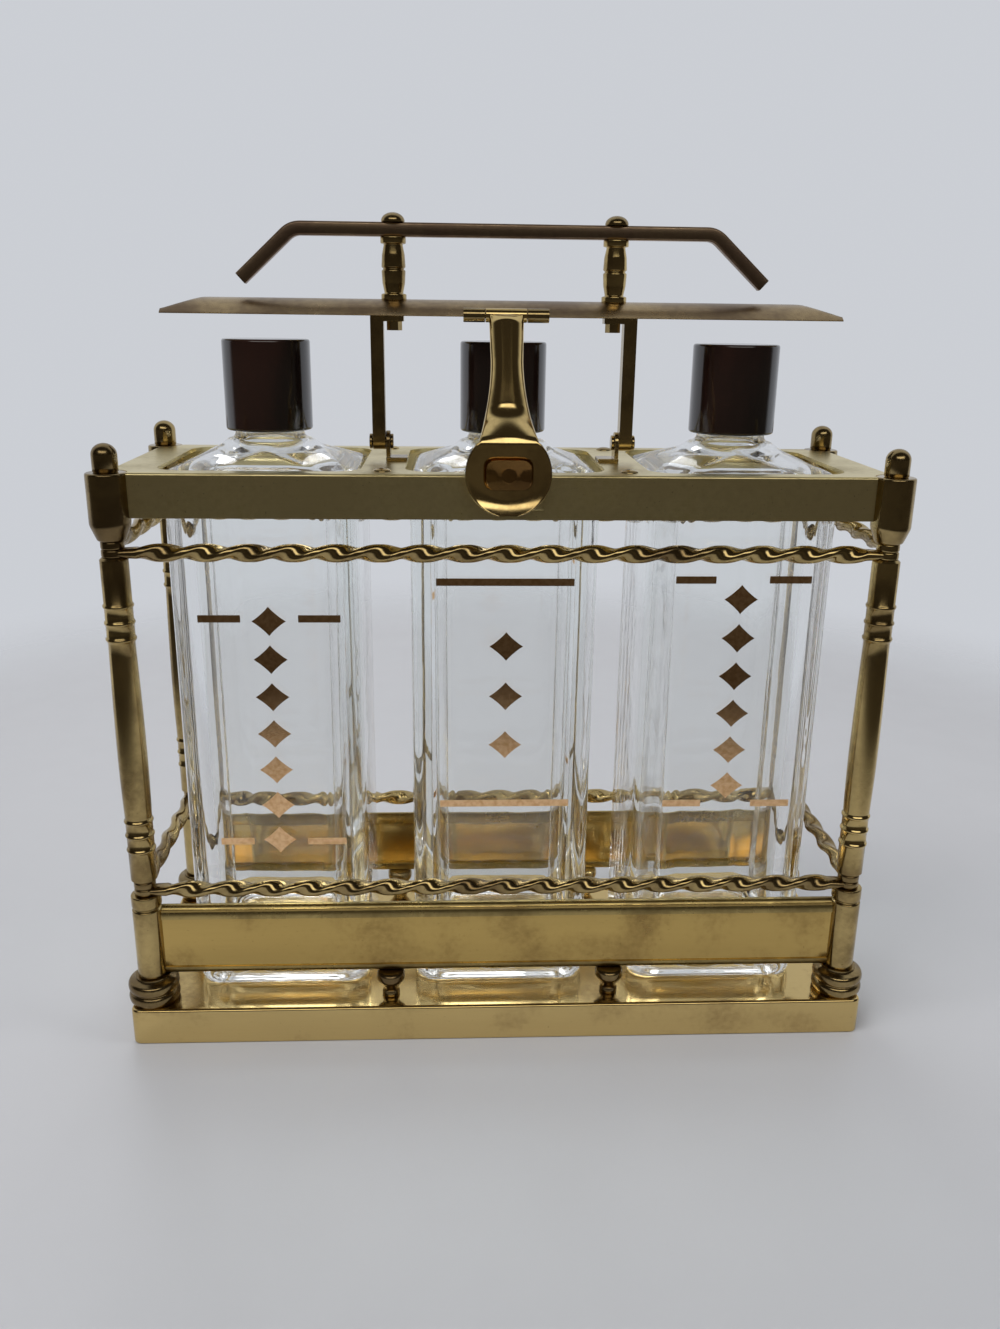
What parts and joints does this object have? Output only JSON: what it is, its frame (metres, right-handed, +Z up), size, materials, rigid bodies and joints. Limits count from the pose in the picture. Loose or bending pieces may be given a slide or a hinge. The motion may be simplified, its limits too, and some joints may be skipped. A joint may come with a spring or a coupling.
{
  "type": "tantalus",
  "caption": "Brass bottle stand with turned corner columns, twisted wire rails, square glass bottles and a hinged locking bar with a carrying handle and hasp.",
  "frame": {"origin": "centre of the base's underside", "axes": "+X along the row of bottles, +Y to the back, +Z up"},
  "size_m": [0.2444, 0.0881, 0.2573],
  "materials": {
    "polished_brass": "polished, lightly worn",
    "aged_brass": "tarnished, brown in the hollows",
    "steel": "dull",
    "glass": "clear, thick",
    "cap_plastic": "gloss",
    "liner": "matte",
    "baize": "napped"
  },
  "bodies": {
    "stand": {"base_tray": "polished_brass", "column_feet": "polished_brass", "band_front": "polished_brass", "band_back": "polished_brass", "top_frame": "polished_brass", "strike": "polished_brass", "plate_rivets": "polished_brass", "lower_tube_front_left": "polished_brass", "lower_tube_front_right": "polished_brass", "lower_tube_back_left": "polished_brass", "lower_tube_back_right": "polished_brass", "lower_rail_front": "polished_brass", "lower_rail_back": "polished_brass", "lower_rail_left": "polished_brass", "lower_rail_right": "polished_brass", "upper_rail_front": "polished_brass", "upper_rail_back": "polished_brass", "upper_rail_left": "polished_brass", "upper_rail_right": "polished_brass", "spindle_front_left": "aged_brass", "spindle_front_right": "aged_brass", "spindle_back_left": "aged_brass", "spindle_back_right": "aged_brass", "collar_front_left": "aged_brass", "collar_front_right": "aged_brass", "collar_back_left": "aged_brass", "collar_back_right": "aged_brass", "finial_rod_front_left": "aged_brass", "finial_rod_front_right": "aged_brass", "finial_rod_back_left": "aged_brass", "finial_rod_back_right": "aged_brass", "band_spools_front": "aged_brass", "band_spools_back": "aged_brass", "hinge_lug_left": "aged_brass", "hinge_lug_right": "aged_brass", "hinge_rivets": "aged_brass", "rod_nuts": "steel", "base_pad": "baize"},
    "lid": {"lid_arm_left": "aged_brass", "lid_arm_right": "aged_brass", "lid_bar": "aged_brass", "handle_post_left": "aged_brass", "handle_post_right": "aged_brass", "handle": "aged_brass", "post_screws": "aged_brass", "post_nuts": "aged_brass", "bar_knuckles": "aged_brass", "hasp_pin": "aged_brass"},
    "hasp": {"hasp": "polished_brass"},
    "knob": {"knob": "aged_brass", "knob_spindle": "aged_brass"},
    "bottle_left": {"bottle_left": "glass"},
    "liner_left": {"cap_liner_left": "liner"},
    "cap_left": {"cap_left": "cap_plastic"},
    "bottle_middle": {"bottle_middle": "glass"},
    "liner_middle": {"cap_liner_middle": "liner"},
    "cap_middle": {"cap_middle": "cap_plastic"},
    "bottle_right": {"bottle_right": "glass"},
    "liner_right": {"cap_liner_right": "liner"},
    "cap_right": {"cap_right": "cap_plastic"}
  },
  "joints": [
    {"name": "lid_swing", "type": "hinge", "parent": "stand", "child": "lid", "pos_m": [0, -0.0025, 0.1908], "axis": [1, 0, 0], "range_deg": [-80, 0]},
    {"name": "hasp_swing", "type": "hinge", "parent": "lid", "child": "hasp", "pos_m": [0, -0.0155, 0.2287], "axis": [1, 0, 0], "range_deg": [-95, 0]},
    {"name": "knob_turn", "type": "hinge", "parent": "hasp", "child": "knob", "pos_m": [0, -0.041, 0.1861], "axis": [0, -1, 0], "range_deg": [0, 90]},
    {"name": "bottle_left_lift", "type": "slide", "parent": "stand", "child": "bottle_left", "axis": [0, 0, 1], "range_m": [0, 0.0025]},
    {"name": "cap_left_rise", "type": "slide", "parent": "bottle_left", "child": "liner_left", "axis": [0, 0, 1], "range_m": [0, 0.003]},
    {"name": "cap_left_turn", "type": "hinge", "parent": "liner_left", "child": "cap_left", "pos_m": [-0.0727, 0, 0.2], "axis": [0, 0, 1], "range_deg": [0, 360]},
    {"name": "bottle_middle_lift", "type": "slide", "parent": "stand", "child": "bottle_middle", "axis": [0, 0, 1], "range_m": [0, 0.0025]},
    {"name": "cap_middle_rise", "type": "slide", "parent": "bottle_middle", "child": "liner_middle", "axis": [0, 0, 1], "range_m": [0, 0.003]},
    {"name": "cap_middle_turn", "type": "hinge", "parent": "liner_middle", "child": "cap_middle", "pos_m": [0, 0, 0.2], "axis": [0, 0, 1], "range_deg": [0, 360]},
    {"name": "bottle_right_lift", "type": "slide", "parent": "stand", "child": "bottle_right", "axis": [0, 0, 1], "range_m": [0, 0.0025]},
    {"name": "cap_right_rise", "type": "slide", "parent": "bottle_right", "child": "liner_right", "axis": [0, 0, 1], "range_m": [0, 0.003]},
    {"name": "cap_right_turn", "type": "hinge", "parent": "liner_right", "child": "cap_right", "pos_m": [0.0727, 0, 0.2], "axis": [0, 0, 1], "range_deg": [0, 360]}
  ],
  "couplings": [
    {"joint": "hasp_swing", "follows": "lid_swing", "ratio": 1.1874},
    {"joint": "cap_left_rise", "follows": "cap_left_turn", "m_per_rad": 0.00047742},
    {"joint": "cap_middle_rise", "follows": "cap_middle_turn", "m_per_rad": 0.00047742},
    {"joint": "cap_right_rise", "follows": "cap_right_turn", "m_per_rad": 0.00047742}
  ]
}
